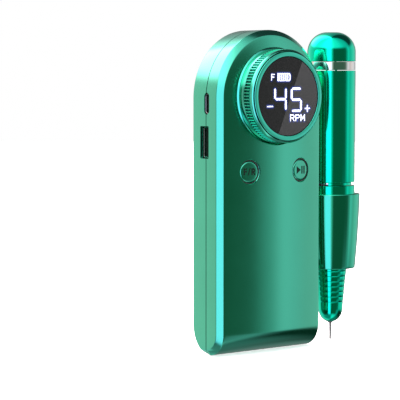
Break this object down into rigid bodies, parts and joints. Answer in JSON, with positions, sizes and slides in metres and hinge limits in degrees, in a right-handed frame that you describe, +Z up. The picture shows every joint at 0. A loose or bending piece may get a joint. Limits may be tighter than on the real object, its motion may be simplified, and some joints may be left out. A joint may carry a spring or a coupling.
{
  "type": "electric nail drill",
  "caption": "Slim upright nail drill controller with a round display inside a knurled speed dial, two buttons, side sockets, and a pen-shaped handpiece standing in a tapered side holder.",
  "frame": {"origin": "centre of the base of the box around the upright assembly", "axes": "+Z up along the controller and the handpiece, -Y out of the display, +X from the controller to the handpiece"},
  "size_m": [0.0856, 0.0328, 0.1407],
  "materials": {
    "case_green": "satin metallic green",
    "dial_green": "polished metallic green",
    "barrel_green": "mirror gloss metallic green",
    "chrome": "polished",
    "lens_glass": "gloss black",
    "socket_steel": "drawn",
    "bit_steel": "ground",
    "steel": "satin",
    "black_plastic": "matte",
    "white_plastic": "matte",
    "board_green": "solder mask",
    "battery_wrap": "shrink film",
    "copper": "enamelled winding",
    "brass": "turned",
    "magnet": "sintered",
    "red_wire": "insulation",
    "black_wire": "insulation"
  },
  "bodies": {
    "controller": {"front_shell": "case_green", "rear_shell": "case_green", "dial_trim_ring": "dial_green", "display_bezel": "case_green", "display_lens": "lens_glass", "display_module": "black_plastic", "display_hub": "black_plastic", "fr_switch": "black_plastic", "play_switch": "black_plastic", "main_board": "board_green", "battery_cell": "battery_wrap", "protection_board": "board_green", "battery_lead_red": "red_wire", "battery_lead_black": "black_wire", "charge_socket_shell": "socket_steel", "charge_socket_tongue": "black_plastic", "outlet_socket_shell": "socket_steel", "outlet_socket_tongue": "black_plastic", "case_screw_1": "steel", "case_screw_2": "steel", "case_screw_3": "steel", "case_screw_4": "steel", "holder": "case_green", "holder_screw_1": "steel", "holder_screw_2": "steel"},
    "dial": {"speed_dial": "dial_green", "dial_retainer": "steel", "dial_magnet_ring": "magnet"},
    "fr_key": {"fr_button": "case_green", "fr_switch_plunger": "white_plastic"},
    "play_key": {"play_button": "case_green", "play_switch_plunger": "white_plastic"},
    "handpiece": {"tail_cap": "barrel_green", "tail_band": "chrome", "tail_socket": "black_plastic", "barrel": "barrel_green", "groove_ring": "chrome", "core_tube": "black_plastic", "grip": "barrel_green", "rear_bearing_outer": "steel", "front_bearing_outer": "steel", "motor_can": "steel", "motor_magnet": "magnet", "motor_end_cap": "white_plastic", "motor_lead_red": "red_wire", "motor_lead_black": "black_wire", "chuck_spring": "steel"},
    "collar": {"lock_collar": "barrel_green"},
    "release": {"release_sleeve": "steel"},
    "drive": {"spindle": "steel", "collet": "steel", "lower_coupling": "brass", "upper_coupling": "brass", "motor_shaft": "steel", "motor_armature": "copper", "rear_bearing_inner": "steel", "rear_bearing_cage": "brass", "front_bearing_inner": "steel", "front_bearing_cage": "brass"},
    "tool": {"bit": "bit_steel"}
  },
  "joints": [
    {"name": "dial_turn", "type": "hinge", "parent": "controller", "child": "dial", "pos_m": [-0.0132, -0.00907, 0.112], "axis": [0, 1, 0], "continuous": true},
    {"name": "fr_press", "type": "slide", "parent": "controller", "child": "fr_key", "axis": [0, 1, 0], "range_m": [0, 0.0004], "stiffness_N_per_m": 1500},
    {"name": "play_press", "type": "slide", "parent": "controller", "child": "play_key", "axis": [0, 1, 0], "range_m": [0, 0.0004], "stiffness_N_per_m": 1500},
    {"name": "handpiece_lift", "type": "slide", "parent": "controller", "child": "handpiece", "axis": [0, 0, 1], "range_m": [0, 0.08]},
    {"name": "collar_twist", "type": "hinge", "parent": "handpiece", "child": "collar", "pos_m": [0.0297, 0.00332, 0.06], "axis": [0, 0, 1], "range_deg": [0, 60]},
    {"name": "release_slide", "type": "slide", "parent": "handpiece", "child": "release", "axis": [0, 0, 1], "range_m": [0, 0.0012], "deforming": ["chuck_spring"]},
    {"name": "spindle_turn", "type": "hinge", "parent": "handpiece", "child": "drive", "pos_m": [0.0297, 0.00332, 0.07], "axis": [0, 0, 1], "continuous": true},
    {"name": "bit_pull", "type": "slide", "parent": "drive", "child": "tool", "axis": [0, 0, -1], "range_m": [0, 0.03]}
  ],
  "couplings": [
    {"joint": "release_slide", "follows": "collar_twist", "m_per_rad": 0.001146}
  ]
}
